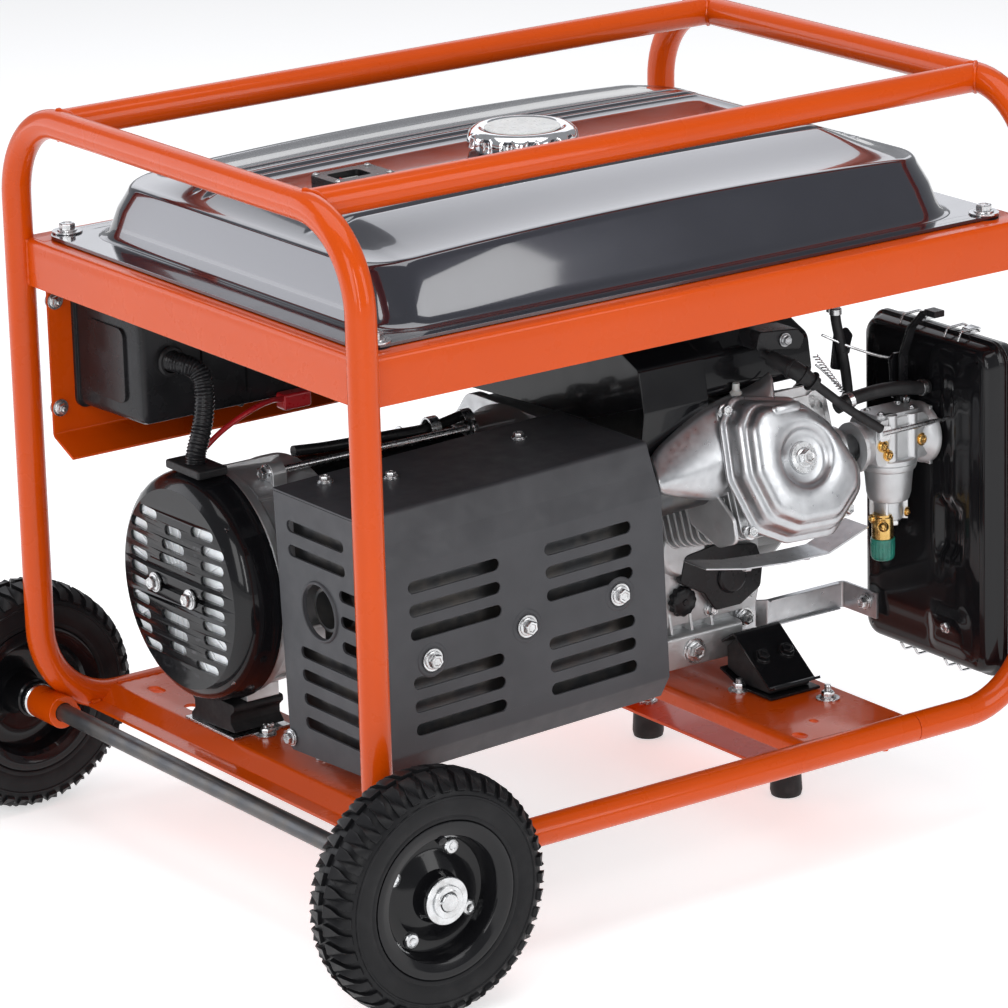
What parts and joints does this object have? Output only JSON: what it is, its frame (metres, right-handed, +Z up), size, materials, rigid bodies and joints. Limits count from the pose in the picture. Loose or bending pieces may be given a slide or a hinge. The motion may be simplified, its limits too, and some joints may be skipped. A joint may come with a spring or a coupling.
{
  "type": "portable generator",
  "caption": "Open-frame portable petrol generator on a wheeled tubular frame, with fuel tank, engine, alternator, slotted muffler guard, air filter box and control panel.",
  "frame": {"origin": "centre of the overall bounding box at floor level", "axes": "+X towards the recoil starter and air filter end, +Y towards the control panel side, +Z up"},
  "size_m": [0.7854, 0.686, 0.6455],
  "materials": {
    "orange_paint": "gloss orange powder coat",
    "tank_paint": "gloss blue-black enamel",
    "black_paint": "gloss black enamel",
    "guard_paint": "matt dark grey heat-resistant paint",
    "cast_aluminium": "shot-blasted die-cast aluminium",
    "zinc_steel": "zinc-plated pressed steel",
    "dark_steel": "dark steel",
    "core_steel": "laminated steel and lacquered copper",
    "tyre_rubber": "moulded rubber",
    "mount_rubber": "matt moulded rubber",
    "black_plastic": "satin moulded plastic",
    "red_plastic": "moulded red plastic",
    "chrome": "bright chrome plate",
    "filter_paper": "pleated paper"
  },
  "bodies": {
    "frame": {"frame_hoop_rear": "orange_paint", "frame_hoop_front": "orange_paint", "top_rail_muffler_side": "orange_paint", "top_rail_panel_side": "orange_paint", "tank_belt": "orange_paint", "panel_bracket": "orange_paint", "crossmember_alternator": "orange_paint", "crossmember_engine": "orange_paint", "foot_bracket": "orange_paint", "axle_sleeve_muffler_side": "orange_paint", "axle_sleeve_panel_side": "orange_paint", "fuel_tank": "tank_paint", "alternator_end_cover": "black_paint", "engine_shroud": "black_paint", "recoil_cover": "black_paint", "control_panel": "black_paint", "stator": "black_paint", "muffler_guard": "guard_paint", "alternator_bracket": "cast_aluminium", "crankcase": "cast_aluminium", "cylinder_head": "cast_aluminium", "carburettor": "cast_aluminium", "fuel_cock": "cast_aluminium", "valve_cover": "zinc_steel", "exhaust_heat_shield": "zinc_steel", "strap_bracket": "zinc_steel", "axle": "dark_steel", "muffler": "dark_steel", "rubber_foot_muffler_side": "mount_rubber", "rubber_foot_panel_side": "mount_rubber", "rubber_mount_alternator": "mount_rubber", "rubber_mount_muffler_side": "mount_rubber", "rubber_mount_panel_side": "mount_rubber", "fuel_hose": "mount_rubber", "breather_hose": "mount_rubber", "conduit": "mount_rubber", "spark_plug_lead": "mount_rubber", "air_filter_base": "black_plastic", "air_filter_cover": "black_plastic", "control_box": "black_plastic", "starter_lead": "red_plastic", "air_filter_element": "filter_paper"},
    "wheel_muffler_side": {"tyre_muffler_side": "tyre_rubber", "rim_muffler_side": "black_paint"},
    "wheel_panel_side": {"tyre_panel_side": "tyre_rubber", "rim_panel_side": "black_paint"},
    "fuel_cap": {"fuel_cap": "chrome"},
    "rotating_group": {"rotor": "core_steel", "crankshaft": "dark_steel", "flywheel": "cast_aluminium"},
    "starter_handle": {"recoil_handle": "black_plastic"},
    "starter_pulley": {"recoil_pulley": "black_plastic"},
    "choke_lever": {"choke_lever": "black_plastic"},
    "governor_arm": {"governor_arm": "zinc_steel"},
    "fuel_cock_lever": {"fuel_cock_lever": "red_plastic"},
    "ignition_key": {"ignition_key": "zinc_steel"},
    "breaker_button": {"breaker_button": "red_plastic"},
    "socket_lid_1": {"socket_lid_1": "black_plastic"},
    "socket_lid_2": {"socket_lid_2": "black_plastic"},
    "oil_dipstick": {"oil_dipstick": "black_plastic"}
  },
  "joints": [
    {"name": "wheel_spin_muffler_side", "type": "hinge", "parent": "frame", "child": "wheel_muffler_side", "pos_m": [-0.29075, -0.311, 0.102], "axis": [0, 1, 0], "continuous": true},
    {"name": "wheel_spin_panel_side", "type": "hinge", "parent": "frame", "child": "wheel_panel_side", "pos_m": [-0.29075, 0.311, 0.102], "axis": [0, 1, 0], "continuous": true},
    {"name": "fuel_cap_turn", "type": "hinge", "parent": "frame", "child": "fuel_cap", "pos_m": [0.04025, 0, 0.602], "axis": [0, 0, 1], "range_deg": [0, 90]},
    {"name": "crank_spin", "type": "hinge", "parent": "frame", "child": "rotating_group", "pos_m": [0.04025, 0.092, 0.244], "axis": [1, 0, 0], "continuous": true},
    {"name": "starter_pull", "type": "slide", "parent": "frame", "child": "starter_handle", "axis": [1, 0, 0], "range_m": [0, 0.08], "stiffness_N_per_m": 40, "springref_m": -0.15},
    {"name": "starter_pulley_turn", "type": "hinge", "parent": "frame", "child": "starter_pulley", "pos_m": [0.30925, 0.092, 0.244], "axis": [1, 0, 0], "range_deg": [0, 105]},
    {"name": "choke_swing", "type": "hinge", "parent": "frame", "child": "choke_lever", "pos_m": [0.32725, -0.15, 0.354], "axis": [0, -1, 0], "range_deg": [0, 40]},
    {"name": "governor_swing", "type": "hinge", "parent": "frame", "child": "governor_arm", "pos_m": [0.24725, -0.064, 0.408], "axis": [-1, 0, 0], "range_deg": [0, 18]},
    {"name": "fuel_cock_turn", "type": "hinge", "parent": "frame", "child": "fuel_cock_lever", "pos_m": [0.26925, -0.1418, 0.457], "axis": [0, 1, 0], "range_deg": [0, 90]},
    {"name": "key_turn", "type": "hinge", "parent": "frame", "child": "ignition_key", "pos_m": [-0.23375, 0.251, 0.392], "axis": [0, 1, 0], "range_deg": [0, 80]},
    {"name": "breaker_press", "type": "slide", "parent": "frame", "child": "breaker_button", "axis": [0, -1, 0], "range_m": [0, 0.004], "stiffness_N_per_m": 400, "springref_m": -0.003},
    {"name": "socket_lid_1_open", "type": "hinge", "parent": "frame", "child": "socket_lid_1", "pos_m": [-0.12775, 0.2644, 0.456], "axis": [1, 0, 0], "range_deg": [0, 100]},
    {"name": "socket_lid_2_open", "type": "hinge", "parent": "frame", "child": "socket_lid_2", "pos_m": [-0.04375, 0.2644, 0.456], "axis": [1, 0, 0], "range_deg": [0, 100]},
    {"name": "dipstick_turn", "type": "hinge", "parent": "frame", "child": "oil_dipstick", "pos_m": [0.15825, -0.05, 0.182], "axis": [0, 1, 0], "range_deg": [0, 180]}
  ],
  "couplings": [
    {"joint": "starter_pulley_turn", "follows": "starter_pull", "rad_per_m": 21.739}
  ]
}
